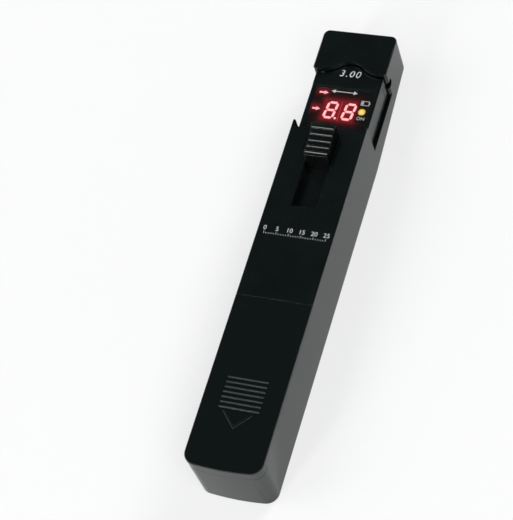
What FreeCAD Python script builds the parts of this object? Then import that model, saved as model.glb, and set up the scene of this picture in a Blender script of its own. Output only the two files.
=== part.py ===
"""Hand-held optical fibre identifier.

The bar lies on its back: X is its width, Y runs from the battery end to the head and Z points out
of its front. Lengths along the bar are counted from the battery end, and every piece is then placed
so that the middle of the bar's length is at Y 0. All sizes are in millimetres.
"""
import FreeCAD
import Part
import Sketcher
import math
import os
import re

# Driving dimensions, one cell each
SIZES = {
    # Overall shape of the bar
    "body_width": 30.8,
    "body_depth": 27.0,
    "battery_bay_length": 70.95,
    "thumb_section_length": 79.5,
    "display_section_length": 26.8,
    "head_length": 19.1,
    "head_drop": 2.5,
    "spine_height": 10.3,
    "bevel_length": 48.6,
    "bevel_rise": 5.8,
    "end_corner_radius": 5.0,
    "end_bow_radius": 110.0,
    "head_corner_radius": 2.6,
    "jaw_corner_cut": 0.8,
    "back_edge_chamfer": 0.35,
    "front_edge_radius": 0.35,
    "cover_edge_bevel": 0.25,
    "head_edge_bevel": 0.4,
    "ear_length": 3.1,
    # Walls of the tub and its covers
    "side_wall": 1.0,
    "battery_side_wall": 1.65,
    "back_wall": 1.8,
    "end_wall": 2.0,
    "cover_plate": 1.4,
    "parting_gap": 0.2,
    "spine_floor": 5.1,
    "bulkhead_wall": 2.2,
    "bulkhead_setback": 2.2,
    "runner_width": 2.0,
    "runner_offset": 7.0,
    "lip_wall": 1.0,
    "lip_depth": 2.2,
    # Battery, its snaps and its rests
    "battery_width": 26.5,
    "battery_length": 46.0,
    "battery_top_gap": 0.7,
    "battery_edge_radius": 2.2,
    "battery_rest_height": 4.2,
    "battery_rest_width": 1.6,
    "battery_rest_offset": 8.0,
    "battery_stop_height": 12.0,
    "snap_spacing": 12.7,
    "snap_height": 2.4,
    "snap_stud_radius": 2.85,
    "snap_ring_radius": 4.0,
    "snap_play": 0.2,
    "terminal_plate_thickness": 1.5,
    # Battery cover
    "rail_wall": 1.2,
    "rail_lip": 0.9,
    "rail_lip_height": 1.0,
    "rail_depth": 3.2,
    "rail_setback": 6.0,
    "rail_length": 56.0,
    "rail_play": 0.3,
    "skirt_beyond_corner": 0.4,
    "grip_rib_count": 7,
    "grip_rib_pitch": 2.03,
    "grip_rib_length": 16.0,
    "grip_rib_width": 0.5,
    "grip_rib_height": 0.45,
    "grip_rib_start": 24.65,
    "chevron_tip": 16.75,
    "chevron_width": 11.2,
    "chevron_height": 6.2,
    "chevron_stroke": 1.1,
    "chevron_relief": 0.35,
    # Slide
    "slider_gap": 0.3,
    "slider_recess": 4.8,
    "slider_wide_length": 32.5,
    "slider_tail_length": 31.5,
    "slider_tail_width": 17.8,
    "tail_bar_width": 26.4,
    "tail_bar_thickness": 3.0,
    "slider_wall": 1.6,
    "slider_end_wall": 1.2,
    "slider_front_wall": 2.0,
    "slider_base_thickness": 1.5,
    "slide_travel": 18.0,
    "tongue_length": 2.8,
    "tongue_play": 0.2,
    # Thumb channel and grip
    "channel_width": 10.4,
    "channel_length": 38.7,
    "channel_wall": 1.2,
    "grip_play": 0.2,
    "grip_lead": 20.1,
    "grip_length": 14.5,
    "grip_low_height": 10.2,
    "grip_high_height": 11.8,
    "grip_dish_radius": 21.0,
    "grip_corner_radius": 0.8,
    "grip_ridge_count": 5,
    "grip_ridge_radius": 0.6,
    "grip_ridge_pitch": 2.75,
    "grip_peg_radius": 1.2,
    "grip_peg_length": 2.6,
    "grip_peg_spacing": 7.0,
    # Jaw: adapter, head and anvil
    "jaw_gap": 0.4,
    "adapter_shoulder": 6.0,
    "adapter_front_plate": 2.0,
    "adapter_back_plate": 2.6,
    "bump_rise": 4.7,
    "bump_shoulder": 1.3,
    "crest_radius": 7.0,
    "fibre_diameter": 3.0,
    "fibre_depth": 5.4,
    "fibre_notch_width": 3.6,
    "fibre_notch_radius": 1.6,
    "jaw_room": 3.4,
    "jaw_wall": 2.0,
    "head_front_wall": 2.2,
    "head_end_wall": 1.8,
    "head_side_wall": 1.9,
    "head_cavity_width": 19.8,
    "anvil_width": 15.8,
    "anvil_flange_width": 19.0,
    "anvil_flange_thickness": 1.6,
    "anvil_thickness": 5.6,
    "anvil_play": 0.1,
    # Detectors
    "detector_spacing": 9.0,
    "detector_can_radius": 2.1,
    "detector_can_length": 2.6,
    "detector_flange_radius": 2.35,
    "detector_flange_thickness": 0.5,
    "detector_play": 0.1,
    "light_hole_radius": 0.8,
    "detector_board_thickness": 1.2,
    "detector_board_width": 18.6,
    "detector_board_height": 7.2,
    # Display and boards
    "window_width": 24.4,
    "window_length": 18.4,
    "window_margin": 0.9,
    "window_thickness": 1.4,
    "window_ledge": 0.4,
    "window_play": 0.1,
    "window_corner_radius": 1.0,
    "board_post_height": 5.3,
    "board_post_width": 3.0,
    "board_thickness": 1.6,
    "board_play": 0.3,
    "wide_post_x": 9.8,
    "wide_post_lead": 4.6,
    "tail_post_x": 4.9,
    "tail_post_lead": 4.2,
    "digit_module_width": 7.2,
    "digit_module_length": 11.0,
    "display_gap": 0.5,
    "digit_module_gap": 0.35,
    "digit_drop": 10.3,
    "digit_height": 8.2,
    "digit_width": 4.75,
    "digit_stroke": 1.05,
    "digit_slant_angle": 7.5,
    "digit_bar_gap": 0.14,
    "digit_bar_relief": 0.15,
    "digit_dot_radius": 0.5,
    "lamp_gap": 0.2,
    "arrow_shaft": 0.8,
    "arrow_head_length": 1.7,
    "traffic_led_x": -8.65,
    "traffic_led_drop": 2.5,
    "traffic_led_length": 3.8,
    "traffic_led_width": 1.8,
    "sign_led_gap": 0.8,
    "sign_led_drop": 10.4,
    "sign_led_length": 3.3,
    "sign_led_width": 1.8,
    "battery_led_gap": 0.15,
    "battery_led_drop": 9.8,
    "battery_led_radius": 1.55,
    "chip_width": 7.0,
    "chip_thickness": 1.4,
    "chip_lead": 16.0,
    # Spring and its guide
    "spring_mean_radius": 3.1,
    "spring_wire_radius": 0.4,
    "spring_turns": 9,
    "spring_runs_per_turn": 10,
    "spring_axis_height": 13.0,
    "spring_seat_depth": 1.0,
    "spring_seat_play": 0.4,
    "guide_radius": 2.4,
    "guide_tip_play": 2.0,
    "collar_radius": 4.5,
    "collar_thickness": 2.0,
    "collar_standoff": 1.6,
    "guide_play": 0.05,
    # Screws and their bosses
    "screw_radius": 1.0,
    "screw_head_radius": 1.75,
    "screw_head_height": 1.1,
    "screw_hole_play": 0.2,
    "screw_pilot_play": 0.05,
    "screw_head_play": 0.15,
    "screw_tip_room": 1.0,
    "tub_boss_half": 2.5,
    "cover_boss_half": 2.2,
    "cover_boss_low": 12.0,
    "tub_screw_recess": 3.2,
    "tub_screw_length": 16.0,
    "tub_screw_x": 11.9,
    "head_screw_x": 12.4,
    "head_screw_setback": 8.5,
    "head_screw_recess": 8.2,
    "head_screw_length": 8.8,
    # Hooks at the lower end of the front cover
    "hook_offset": 8.0,
    "hook_width": 4.0,
    "hook_wall": 1.2,
    "hook_depth": 5.2,
    "hook_reach": 1.2,
    "hook_play": 0.2,
}

# Places and sizes that follow from the driving dimensions
PLACES = {
    "total_length": "battery_bay_length + thumb_section_length + display_section_length + head_length",
    "half_width": "body_width / 2",
    "step_line": "battery_bay_length + thumb_section_length",
    "plate_line": "step_line - ear_length",
    "jaw_line": "step_line + display_section_length",
    "bevel_line": "total_length - bevel_length",
    "wall_top": "body_depth - cover_plate",
    "head_height": "body_depth - head_drop",
    "corner_reach": "sqrt((end_bow_radius - end_corner_radius) ^ 2 - (half_width - end_corner_radius) ^ 2)",
    "corner_line": "end_bow_radius - corner_reach",
    "bow_share": "end_bow_radius / (end_bow_radius - end_corner_radius)",
    "bow_x": "(half_width - end_corner_radius) * bow_share",
    "bow_line": "end_bow_radius - corner_reach * bow_share",
    "inner_corner_radius": "end_corner_radius - battery_side_wall",
    "skirt_end": "corner_line + skirt_beyond_corner",
    "bay_half": "half_width - side_wall",
    "battery_bay_half": "half_width - battery_side_wall",
    "bulkhead_far": "battery_bay_length - bulkhead_setback",
    "bulkhead_near": "bulkhead_far - bulkhead_wall",
    "plate_near": "bulkhead_near - terminal_plate_thickness",
    "battery_far": "plate_near - snap_height - snap_play",
    "battery_near": "battery_far - battery_length",
    "battery_top": "rail_low - battery_top_gap",
    "battery_thickness": "battery_top - battery_rest_height",
    "snap_axis_height": "battery_rest_height + battery_thickness / 2",
    "battery_cover_low": "wall_top + parting_gap",
    "rail_low": "wall_top - rail_depth",
    "groove_low": "rail_low - parting_gap",
    "rail_half": "battery_bay_half - rail_play",
    "slider_half": "half_width - side_wall - slider_gap",
    "slider_front": "body_depth - slider_recess",
    "slider_low": "spine_floor + slider_gap",
    "shell_low": "slider_low + slider_base_thickness",
    "shell_inside": "slider_front - slider_front_wall",
    "slider_top": "jaw_line - jaw_gap - adapter_shoulder",
    "wide_low": "slider_top - slider_wide_length",
    "tail_low": "wide_low - slider_tail_length",
    "bar_low": "tail_low - tail_bar_thickness",
    "tail_half": "slider_tail_width / 2",
    "channel_half": "channel_width / 2",
    "channel_end": "step_line - channel_length",
    "rim_low": "slider_front + slider_gap",
    "grip_half": "channel_half - grip_play",
    "grip_near": "channel_end + grip_lead",
    "grip_far": "grip_near + grip_length",
    "window_far": "slider_top - window_margin",
    "window_near": "window_far - window_length",
    "window_low": "slider_front - window_thickness",
    "board_low": "shell_low + board_post_height",
    "board_top": "board_low + board_thickness",
    "digit_module_height": "window_low - display_gap - board_top",
    "lamp_height": "window_low - lamp_gap - board_top",
    "board_far": "slider_top - slider_end_wall - board_play",
    "board_half": "slider_half - slider_wall - board_play",
    "board_tail_half": "tail_half - slider_wall - board_play",
    "board_shoulder": "wide_low + slider_wall + board_play",
    "board_near": "tail_low + slider_wall + board_play",
    "display_line": "slider_top - digit_drop",
    "digit_spread": "(digit_module_width + digit_module_gap) / 2",
    "digits_half": "digit_module_width + digit_module_gap / 2",
    "bump_half_width": "slider_half - bump_shoulder",
    "crest_angle": "2 * atan(bump_rise / bump_half_width)",
    "shoulder_radius": "bump_half_width / sin(crest_angle) - crest_radius",
    "crest_x": "crest_radius * sin(crest_angle)",
    "crest_drop": "crest_radius * (1 - cos(crest_angle))",
    "adapter_line": "jaw_line - jaw_gap",
    "adapter_low": "spine_height + slider_gap",
    "tongue_low": "adapter_low + adapter_back_plate + tongue_play",
    "tongue_high": "slider_front - adapter_front_plate - tongue_play",
    "fibre_height": "slider_front - fibre_depth",
    "anvil_line": "adapter_line + fibre_diameter",
    "cavity_near": "jaw_line + jaw_room + bump_rise + jaw_wall",
    "cavity_far": "total_length - head_end_wall",
    "anvil_far": "cavity_near + anvil_flange_thickness",
    "anvil_low": "fibre_height - anvil_thickness / 2",
    "anvil_high": "fibre_height + anvil_thickness / 2",
    "detector_far": "anvil_far + detector_flange_thickness",
    "spring_near": "bulkhead_far + collar_standoff + collar_thickness",
    "spring_length": "bar_low + spring_seat_depth - spring_near",
    "guide_tip": "bar_low - slide_travel - guide_tip_play",
    "tub_screw_y": "tail_low + slider_gap + tub_boss_half",
    "hook_low": "wall_top - hook_depth",
    "wide_post_y": "wide_low + wide_post_lead",
    "tail_post_y": "tail_low + tail_post_lead",
    "head_screw_y": "total_length - head_screw_setback",
    "overcut": "side_wall",
}

NODES = []

doc = FreeCAD.newDocument("FibreIdentifier")
sheet = doc.addObject("Spreadsheet::Sheet", "Sizes")
for row, (alias, size) in enumerate(SIZES.items(), start=1):
    sheet.set(f"A{row}", alias)
    sheet.set(f"B{row}", str(size))
    sheet.setAlias(f"B{row}", alias)
doc.recompute()


# Sizes and expressions
def tied(text):
    """The expression with every named size pointed at its cell."""
    def cell(match):
        name = match.group()
        if name in PLACES:
            return "(" + tied(PLACES[name]) + ")"
        if name in SIZES:
            return "Sizes." + name
        return name
    return re.sub(r"[a-z_]+", cell, text)


def value(text):
    """The number that an expression gives now."""
    number = sheet.evalExpression(tied(text))
    return float(getattr(number, "Value", number))


def place(item, x, y, z):
    """Sets a piece down at a place counted from the battery end."""
    item.setExpression("Placement.Base.x", tied(x))
    item.setExpression("Placement.Base.y", tied(f"{y} - total_length / 2"))
    item.setExpression("Placement.Base.z", tied(z))


def node(item, label):
    """Names a finished piece, which is then written out."""
    item.Label = label
    NODES.append(item)
    return item


# Sketches
def new_body(label):
    body = doc.addObject("PartDesign::Body", label)
    place(body, "0", "0", "0")
    return node(body, label)


def new_sketch(body, role, offset):
    """An empty sketch on one of the body's own planes, moved along the plane's normal."""
    sketch = body.newObject("Sketcher::SketchObject", "Sketch")
    plane = [feature for feature in body.Origin.OriginFeatures if feature.Role == role][0]
    sketch.AttachmentSupport = [(plane, "")]
    sketch.MapMode = "FlatFace"
    sketch.setExpression("AttachmentOffset.Base.z", tied(offset))
    return sketch


def fix(sketch, kind, number, expression, *where):
    """A dimension of the sketch, bound to an expression."""
    index = sketch.addConstraint(Sketcher.Constraint(kind, *where, number))
    sketch.setExpression(f"Constraints[{index}]", tied(expression))


def arc(radius, turn):
    """Marks the stretch between two corners as an arc; turn 1 runs counter-clockwise."""
    return ("arc", radius, turn)


def rounded_corner(before, corner, after):
    """Two tangent points and the arc between them, for a corner of axis-parallel edges."""
    u, v, radius = corner
    here = (value(u), value(v))
    steps = []
    for other in (before, after):
        du = value(other[0]) - here[0]
        dv = value(other[1]) - here[1]
        length = math.hypot(du, dv)
        steps.append((round(du / length), round(dv / length)))
    points = []
    for du, dv in steps:
        along_u = f"{u} + {du} * ({radius})" if du else u
        along_v = f"{v} + {dv} * ({radius})" if dv else v
        points.append((along_u, along_v))
    (in_u, in_v), (out_u, out_v) = steps
    turn = 1 if in_v * out_u - in_u * out_v > 0 else -1
    return [points[0], arc(radius, turn), points[1]]


def arc_geometry(start, end, radius, turn):
    """The minor arc between two points, drawn counter-clockwise as the sketch needs it."""
    chord = (end[0] - start[0], end[1] - start[1])
    length = math.hypot(*chord)
    reach = math.sqrt(max(radius ** 2 - length ** 2 / 4, 0))
    centre = FreeCAD.Vector((start[0] + end[0]) / 2 - turn * reach * chord[1] / length,
                            (start[1] + end[1]) / 2 + turn * reach * chord[0] / length, 0)
    first, last = (start, end) if turn == 1 else (end, start)
    angles = [math.atan2(point[1] - centre.y, point[0] - centre.x) for point in (first, last)]
    if angles[1] < angles[0]:
        angles[1] += 2 * math.pi
    return Part.ArcOfCircle(Part.Circle(centre, FreeCAD.Vector(0, 0, 1), radius), *angles)


def draw_outline(sketch, corners):
    """A closed outline whose corners and radii are all tied to the sheet."""
    spread = []
    real = [corner for corner in corners if corner[0] != "arc"]
    for corner in corners:
        if corner[0] != "arc" and len(corner) == 3:
            index = real.index(corner)
            spread += rounded_corner(real[index - 1], corner, real[(index + 1) % len(real)])
        else:
            spread.append(corner)
    points = [item for item in spread if item[0] != "arc"]
    bends = {}
    for index, item in enumerate(spread):
        if item[0] == "arc":
            bends[len([other for other in spread[:index] if other[0] != "arc"]) - 1] = item
    spots = [(value(u), value(v)) for u, v in points]
    ends = []
    for index, start in enumerate(spots):
        end = spots[(index + 1) % len(spots)]
        if index in bends:
            _, radius, turn = bends[index]
            edge = sketch.addGeometry(arc_geometry(start, end, value(radius), turn), False)
            ends.append((edge, 1, 2) if turn == 1 else (edge, 2, 1))
        else:
            line = Part.LineSegment(FreeCAD.Vector(*start, 0), FreeCAD.Vector(*end, 0))
            ends.append((sketch.addGeometry(line, False), 1, 2))
    for index, (edge, _, last) in enumerate(ends):
        following, first, _ = ends[(index + 1) % len(ends)]
        sketch.addConstraint(Sketcher.Constraint("Coincident", edge, last, following, first))
    for index, (edge, first, _) in enumerate(ends):
        u, v = points[index]
        fix(sketch, "DistanceX", spots[index][0], u, -1, 1, edge, first)
        fix(sketch, "DistanceY", spots[index][1], v, -1, 1, edge, first)
    for index, (_, radius, _) in bends.items():
        fix(sketch, "Radius", value(radius), radius, ends[index][0])


def draw_circles(sketch, centres, radius):
    for u, v in centres:
        middle = FreeCAD.Vector(value(u), value(v), 0)
        edge = sketch.addGeometry(Part.Circle(middle, FreeCAD.Vector(0, 0, 1), value(radius)), False)
        fix(sketch, "DistanceX", middle.x, u, -1, 1, edge, 3)
        fix(sketch, "DistanceY", middle.y, v, -1, 1, edge, 3)
        fix(sketch, "Radius", value(radius), radius, edge)


def rectangle(low_u, high_u, low_v, high_v, radius=None):
    corners = [(low_u, low_v), (high_u, low_v), (high_u, high_v), (low_u, high_v)]
    return [corner + (radius,) for corner in corners] if radius else corners


def block_outlines(centres, half_u, half_v):
    """Rectangles of one size around several centres."""
    return [rectangle(f"{u} - {half_u}", f"{u} + {half_u}", f"{v} - {half_v}", f"{v} + {half_v}")
            for u, v in centres]


# Features
def check(item):
    doc.recompute()
    if "Invalid" in item.State or "Error" in item.State or item.Shape.isNull():
        raise RuntimeError(f"{item.Label} of {item.getParentGeoFeatureGroup().Label} failed")


def add(body, sketch, low, high):
    """A pad between two heights along the plane's axis."""
    pad = body.newObject("PartDesign::Pad", "Pad")
    pad.Profile = sketch
    pad.setExpression("Length", tied(f"({high}) - ({low})"))
    check(pad)
    return pad


def remove(body, sketch, low, high):
    """A pocket between two heights along the plane's axis."""
    before = body.Shape.Volume
    pocket = body.newObject("PartDesign::Pocket", "Pocket")
    pocket.Profile = sketch
    pocket.setExpression("Length", tied(f"({high}) - ({low})"))
    check(pocket)
    if body.Shape.Volume > before - 1e-6:
        raise RuntimeError(f"a pocket of {body.Label} cuts nothing")
    return pocket


def start_of(role, low, high, adding):
    """Where the sketch of a pad or pocket lies; the XZ plane's normal points along -Y."""
    if role == "XZ_Plane":
        return f"-({high})" if adding else f"-({low})"
    return low if adding else high


def prism(body, role, corners, low, high):
    sketch = new_sketch(body, role, start_of(role, low, high, True))
    draw_outline(sketch, corners)
    return add(body, sketch, low, high)


def hollow(body, role, corners, low, high):
    sketch = new_sketch(body, role, start_of(role, low, high, False))
    draw_outline(sketch, corners)
    return remove(body, sketch, low, high)


def posts(body, role, centres, radius, low, high):
    sketch = new_sketch(body, role, start_of(role, low, high, True))
    draw_circles(sketch, centres, radius)
    return add(body, sketch, low, high)


def holes(body, role, centres, radius, low, high):
    sketch = new_sketch(body, role, start_of(role, low, high, False))
    draw_circles(sketch, centres, radius)
    return remove(body, sketch, low, high)


def blocks(body, centres, half_u, half_v, low, high):
    """Upright rectangular posts of one size."""
    sketch = new_sketch(body, "XY_Plane", low)
    for corners in block_outlines(centres, half_u, half_v):
        draw_outline(sketch, corners)
    return add(body, sketch, low, high)


def dress_edges(body, kind, size, expression, wanted):
    """Fillets or chamfers the edges of the body so far whose middle and box are wanted."""
    base = body.Tip
    names = []
    for number, edge in enumerate(base.Shape.Edges, start=1):
        if wanted(edge.CenterOfMass, edge.BoundBox):
            names.append(f"Edge{number}")
    dressing = body.newObject(f"PartDesign::{kind}", kind)
    dressing.Base = (base, names)
    dressing.setExpression(size, tied(expression))
    check(dressing)


def round_edges(body, radius, wanted):
    dress_edges(body, "Fillet", "Radius", radius, wanted)


def bevel_edges(body, size, wanted):
    dress_edges(body, "Chamfer", "Size", size, wanted)


def near(first, second):
    return abs(first - second) < 0.01


def pair(x, y):
    return [(f"-({x})", y), (x, y)]


# The bump that bends the fibre: flat shoulders, hollow flanks and a round crest
def bump(line, turn):
    """Corners along the bump, from right to left for turn 1 and from left to right for -1."""
    crest = f"{line} + bump_rise - crest_drop"
    right, left = ("", "-") if turn == 1 else ("-", "")
    return [
        (f"{right}bump_half_width", line),
        arc("shoulder_radius", -turn),
        (f"{right}(crest_x)", crest),
        arc("crest_radius", turn),
        (f"{left}(crest_x)", crest),
        arc("shoulder_radius", -turn),
        (f"{left}bump_half_width", line),
    ]


# The battery end: bowed, with a round corner at each side
def bowed_end():
    """Corners along the battery end, from left to right."""
    return [
        ("-(half_width)", "corner_line"),
        arc("end_corner_radius", 1),
        ("-(bow_x)", "bow_line"),
        arc("end_bow_radius", 1),
        ("bow_x", "bow_line"),
        arc("end_corner_radius", 1),
        ("half_width", "corner_line"),
    ]


# Fixed housing
def bevel_height(y):
    """Height of the sloping back at a place along the bar."""
    return max(0, (y - value("bevel_line")) * value("bevel_rise / bevel_length"))


def rear_housing():
    body = new_body("rear_housing")
    plan = bowed_end() + [
        ("half_width", "total_length", "head_corner_radius"),
        ("-(half_width)", "total_length", "head_corner_radius"),
    ]
    prism(body, "XY_Plane", plan, "0", "wall_top")
    beside = "half_width + overcut"
    beyond = "total_length + overcut"
    above_spine = rectangle(f"-({beside})", beside, "step_line", beyond)
    hollow(body, "XY_Plane", above_spine, "spine_height", "wall_top")
    slope = "bevel_rise / bevel_length * overcut"
    wedge = [
        ("bevel_line", "0"),
        (beyond, "0"),
        (beyond, f"bevel_rise + {slope}"),
    ]
    hollow(body, "YZ_Plane", wedge, f"-({beside})", beside)

    def back_edge(middle, box):
        across = near(middle.y, value("bevel_line")) and near(box.YLength, 0)
        return near(middle.z, bevel_height(middle.y)) and not across
    bevel_edges(body, "back_edge_chamfer", back_edge)

    battery_bay = [
        ("-(battery_bay_half)", "end_wall", "inner_corner_radius"),
        ("battery_bay_half", "end_wall", "inner_corner_radius"),
        ("battery_bay_half", "bulkhead_near"),
        ("-(battery_bay_half)", "bulkhead_near"),
    ]
    hollow(body, "XY_Plane", battery_bay, "back_wall", "wall_top")
    slide_bay = rectangle("-(bay_half)", "bay_half", "bulkhead_far", "bevel_line")
    hollow(body, "XY_Plane", slide_bay, "back_wall", "wall_top")
    trough = rectangle("-(bay_half)", "bay_half", "bevel_line", "jaw_line")
    hollow(body, "XY_Plane", trough, "spine_floor", "wall_top")

    skirt_room = rectangle(f"-({beside})", beside, "-overcut", "skirt_end + parting_gap")
    hollow(body, "XY_Plane", skirt_room, "groove_low", "wall_top")
    groove_half = "rail_half + rail_lip + rail_play"
    groove_top = "rail_low + rail_lip_height + rail_play"
    grooves = rectangle(f"-({groove_half})", groove_half, "groove_low", groove_top)
    groove_far = "rail_setback + rail_length + rail_play"
    hollow(body, "XZ_Plane", grooves, "end_wall", groove_far)

    for side in ("-", ""):
        rest = rectangle(f"{side}battery_rest_offset - battery_rest_width / 2",
                         f"{side}battery_rest_offset + battery_rest_width / 2",
                         "battery_near", "battery_far")
        prism(body, "XY_Plane", rest, "back_wall", "battery_rest_height")
        runner = rectangle(f"{side}runner_offset - runner_width / 2",
                           f"{side}runner_offset + runner_width / 2",
                           "bar_low - slide_travel", "bevel_line")
        prism(body, "XY_Plane", runner, "back_wall", "spine_floor")
    stop_far = "battery_near - snap_play"
    stop = rectangle("-battery_rest_offset", "battery_rest_offset",
                     f"{stop_far} - battery_rest_width", stop_far)
    prism(body, "XY_Plane", stop, "back_wall", "battery_stop_height")
    holes(body, "XZ_Plane", [("0", "spring_axis_height")], "guide_radius + guide_play",
          "bulkhead_near", "bulkhead_far")

    hooks = block_outlines(pair("hook_offset", "hook_low + hook_wall / 2"),
                           "(hook_width / 2 + hook_play)", "(hook_wall / 2 + hook_play)")
    for slot in hooks:
        hollow(body, "XZ_Plane", slot, "bulkhead_far - hook_reach - hook_play", "bulkhead_far")

    tub_screws = pair("tub_screw_x", "tub_screw_y")
    blocks(body, tub_screws, "tub_boss_half", "tub_boss_half", "back_wall", "cover_boss_low")
    holes(body, "XY_Plane", tub_screws, "screw_head_radius + screw_head_play", "0", "tub_screw_recess")
    holes(body, "XY_Plane", tub_screws, "screw_radius + screw_hole_play",
          "tub_screw_recess", "cover_boss_low")
    head_holes = pair("head_screw_x", "head_screw_y")
    holes(body, "XY_Plane", head_holes, "screw_head_radius + screw_head_play", "0", "head_screw_recess")
    holes(body, "XY_Plane", head_holes, "screw_radius + screw_hole_play",
          "head_screw_recess", "spine_height")


def front_cover():
    body = new_body("front_cover")
    near_edge = "battery_bay_length + parting_gap / 2"
    plate = [
        ("-(half_width)", near_edge),
        ("half_width", near_edge),
        ("half_width", "step_line"),
        ("bay_half", "step_line"),
        ("bay_half", "plate_line"),
        ("-(bay_half)", "plate_line"),
        ("-(bay_half)", "step_line"),
        ("-(half_width)", "step_line"),
    ]
    prism(body, "XY_Plane", plate, "wall_top", "body_depth")

    def front_edge(middle, box):
        along = near(abs(middle.x), value("half_width")) and near(box.XLength, 0)
        return along and near(middle.z, value("body_depth"))
    round_edges(body, "front_edge_radius", front_edge)

    rim_half = "channel_half + channel_wall"
    rim = rectangle(f"-({rim_half})", rim_half, "channel_end - channel_wall", "plate_line")
    prism(body, "XY_Plane", rim, "rim_low", "wall_top")
    lip_half = "bay_half - parting_gap"
    end_lip = rectangle(f"-({lip_half})", lip_half, "plate_line - channel_wall", "plate_line")
    prism(body, "XY_Plane", end_lip, "rim_low", "wall_top")
    inner = f"{lip_half} - lip_wall"
    for low, high in ((f"-({lip_half})", f"-({inner})"), (inner, lip_half)):
        side_lip = rectangle(low, high, "battery_bay_length + lip_depth", "plate_line - channel_wall")
        prism(body, "XY_Plane", side_lip, "wall_top - lip_depth", "wall_top")
    channel = rectangle("-(channel_half)", "channel_half", "channel_end", "plate_line + overcut")
    hollow(body, "XY_Plane", channel, "rim_low", "body_depth")

    web_near = f"{near_edge} + hook_play"
    web_far = f"{web_near} + hook_wall"
    for web in block_outlines(pair("hook_offset", f"({web_near} + {web_far}) / 2"),
                              "hook_width / 2", "hook_wall / 2"):
        prism(body, "XY_Plane", web, "hook_low", "wall_top")
    for foot in block_outlines(pair("hook_offset", "hook_low + hook_wall / 2"),
                               "hook_width / 2", "hook_wall / 2"):
        prism(body, "XZ_Plane", foot, "bulkhead_far - hook_reach", web_far)

    bosses = pair("tub_screw_x", "tub_screw_y")
    blocks(body, bosses, "cover_boss_half", "cover_boss_half", "cover_boss_low", "wall_top")
    pilot_top = "tub_screw_recess + tub_screw_length + screw_tip_room"
    holes(body, "XY_Plane", bosses, "screw_radius + screw_pilot_play", "cover_boss_low", pilot_top)


def head_cover():
    body = new_body("head_cover")
    cut_line = "jaw_line + jaw_corner_cut"
    cut_half = "half_width - jaw_corner_cut"
    plan = [("-(half_width)", cut_line), (f"-({cut_half})", "jaw_line")]
    plan += bump("jaw_line", -1) + [
        (cut_half, "jaw_line"),
        ("half_width", cut_line),
        ("half_width", "total_length", "head_corner_radius"),
        ("-(half_width)", "total_length", "head_corner_radius"),
    ]
    prism(body, "XY_Plane", plan, "spine_height", "head_height")

    def front_edge(middle, box):
        outer = middle.y > value(cut_line)
        notch = abs(middle.x) < value("bump_half_width") and middle.y < value("cavity_near")
        return near(middle.z, value("head_height")) and outer and not notch
    bevel_edges(body, "head_edge_bevel", front_edge)

    room_half = "half_width - head_side_wall"
    room_line = "jaw_line + jaw_room"
    below = "jaw_line - overcut"
    room = [(f"-({room_half})", below), (room_half, below), (room_half, room_line)]
    room += bump(room_line, 1) + [(f"-({room_half})", room_line)]
    hollow(body, "XY_Plane", room, "spine_height", "head_height - head_front_wall")
    cavity = rectangle("-head_cavity_width / 2", "head_cavity_width / 2", "cavity_near", "cavity_far")
    hollow(body, "XY_Plane", cavity, "spine_height", "head_height - head_front_wall")
    window_half = "anvil_width / 2 + anvil_play"
    window = rectangle(f"-({window_half})", window_half, "anvil_low - anvil_play", "anvil_high + anvil_play")
    hollow(body, "XZ_Plane", window, "jaw_line + jaw_room", "cavity_near")

    notch_low = "fibre_height - fibre_notch_width / 2"
    notch_high = "fibre_height + fibre_notch_width / 2"
    notch = [
        (below, notch_low),
        (room_line, notch_low, "fibre_notch_radius"),
        (room_line, notch_high, "fibre_notch_radius"),
        (below, notch_high),
    ]
    hollow(body, "YZ_Plane", notch, "-(half_width)", "half_width")
    holes(body, "XY_Plane", pair("head_screw_x", "head_screw_y"), "screw_radius + screw_pilot_play",
          "spine_height", "head_screw_recess + head_screw_length + screw_tip_room")


def anvil_block():
    body = new_body("anvil_block")
    half = "anvil_width / 2"
    flange = "anvil_flange_width / 2"
    run = f"(bump_half_width - {half})"
    edge = f"anvil_line + shoulder_radius - sqrt(shoulder_radius ^ 2 - {run} ^ 2)"
    crest = "anvil_line + bump_rise - crest_drop"
    plan = [
        (f"-({half})", edge),
        arc("shoulder_radius", 1),
        ("-(crest_x)", crest),
        arc("crest_radius", -1),
        ("crest_x", crest),
        arc("shoulder_radius", 1),
        (half, edge),
        (half, "cavity_near"),
        (flange, "cavity_near"),
        (flange, "anvil_far"),
        (f"-({flange})", "anvil_far"),
        (f"-({flange})", "cavity_near"),
        (f"-({half})", "cavity_near"),
    ]
    prism(body, "XY_Plane", plan, "anvil_low", "anvil_high")
    sockets = pair("detector_spacing / 2", "fibre_height")
    floor = "anvil_far - detector_can_length - detector_play"
    holes(body, "XZ_Plane", sockets, "detector_can_radius + detector_play", floor, "anvil_far")
    holes(body, "XZ_Plane", sockets, "light_hole_radius", "anvil_line", floor)


def photodiode(label, side):
    """A round can, its flange seated on the anvil block."""
    body = new_body(label)
    axis = [(f"{side}(detector_spacing / 2)", "fibre_height")]
    can_near = "anvil_far - detector_can_length"
    posts(body, "XZ_Plane", axis, "detector_can_radius", can_near, "anvil_far")
    posts(body, "XZ_Plane", axis, "detector_flange_radius", "anvil_far", "detector_far")


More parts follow.
